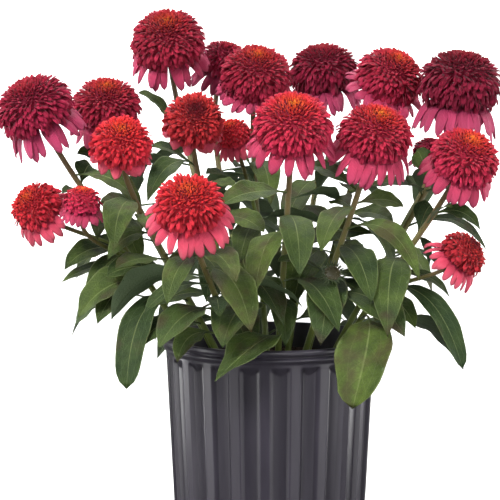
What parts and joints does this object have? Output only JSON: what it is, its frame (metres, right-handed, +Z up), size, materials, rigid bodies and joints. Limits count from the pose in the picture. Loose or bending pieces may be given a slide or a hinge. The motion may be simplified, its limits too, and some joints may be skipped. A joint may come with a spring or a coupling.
{
  "type": "purple coneflower plant",
  "caption": "Bushy coneflower with domed double blooms over drooping rays, on leafy stems, growing in a tapered fluted nursery pot.",
  "frame": {"origin": "centre of the underside of the pot, on the surface it stands on", "axes": "+Z up along the pot's axis, the plant's front towards -Y, +X to the right seen from the front"},
  "size_m": [0.502, 0.3901, 0.5519],
  "materials": {
    "pot": "satin black",
    "soil": "crumbly bark and peat",
    "leaf": "rough green leaf",
    "floret": "velvety crimson petal",
    "ray": "matt rose petal"
  },
  "bodies": {
    "root": {"pot": "pot", "soil": "soil", "bloom_01_florets": "floret", "bloom_01_rays": "ray", "bloom_02_florets": "floret", "bloom_02_rays": "ray", "bloom_03_florets": "floret", "bloom_03_rays": "ray", "bloom_04_florets": "floret", "bloom_04_rays": "ray", "bloom_05_florets": "floret", "bloom_05_rays": "ray", "bloom_06_florets": "floret", "bloom_06_rays": "ray", "bloom_07_florets": "floret", "bloom_07_rays": "ray", "bloom_08_florets": "floret", "bloom_08_rays": "ray", "bloom_09_florets": "floret", "bloom_09_rays": "ray", "bloom_10_florets": "floret", "bloom_10_rays": "ray", "bloom_11_florets": "floret", "bloom_11_rays": "ray", "bloom_12_florets": "floret", "bloom_12_rays": "ray", "bloom_13_florets": "floret", "bloom_13_rays": "ray", "bloom_14_florets": "floret", "bloom_14_rays": "ray", "bloom_15_florets": "floret", "bloom_15_rays": "ray", "bloom_16_florets": "floret", "bloom_16_rays": "ray", "bloom_17_florets": "floret", "bloom_17_rays": "ray", "bloom_18_florets": "floret", "bloom_18_rays": "ray", "bloom_19_florets": "floret", "bloom_19_rays": "ray", "leafy_stem_01": "leaf", "leafy_stem_02": "leaf", "leafy_stem_03": "leaf", "leafy_stem_04": "leaf", "leafy_stem_05": "leaf", "leafy_stem_06": "leaf", "leafy_stem_07": "leaf", "leafy_stem_09": "leaf", "leafy_stem_10": "leaf", "leafy_stem_11": "leaf", "leafy_stem_12": "leaf", "leafy_stem_13": "leaf", "leafy_stem_14": "leaf", "leafy_stem_17": "leaf"}
  },
  "joints": []
}
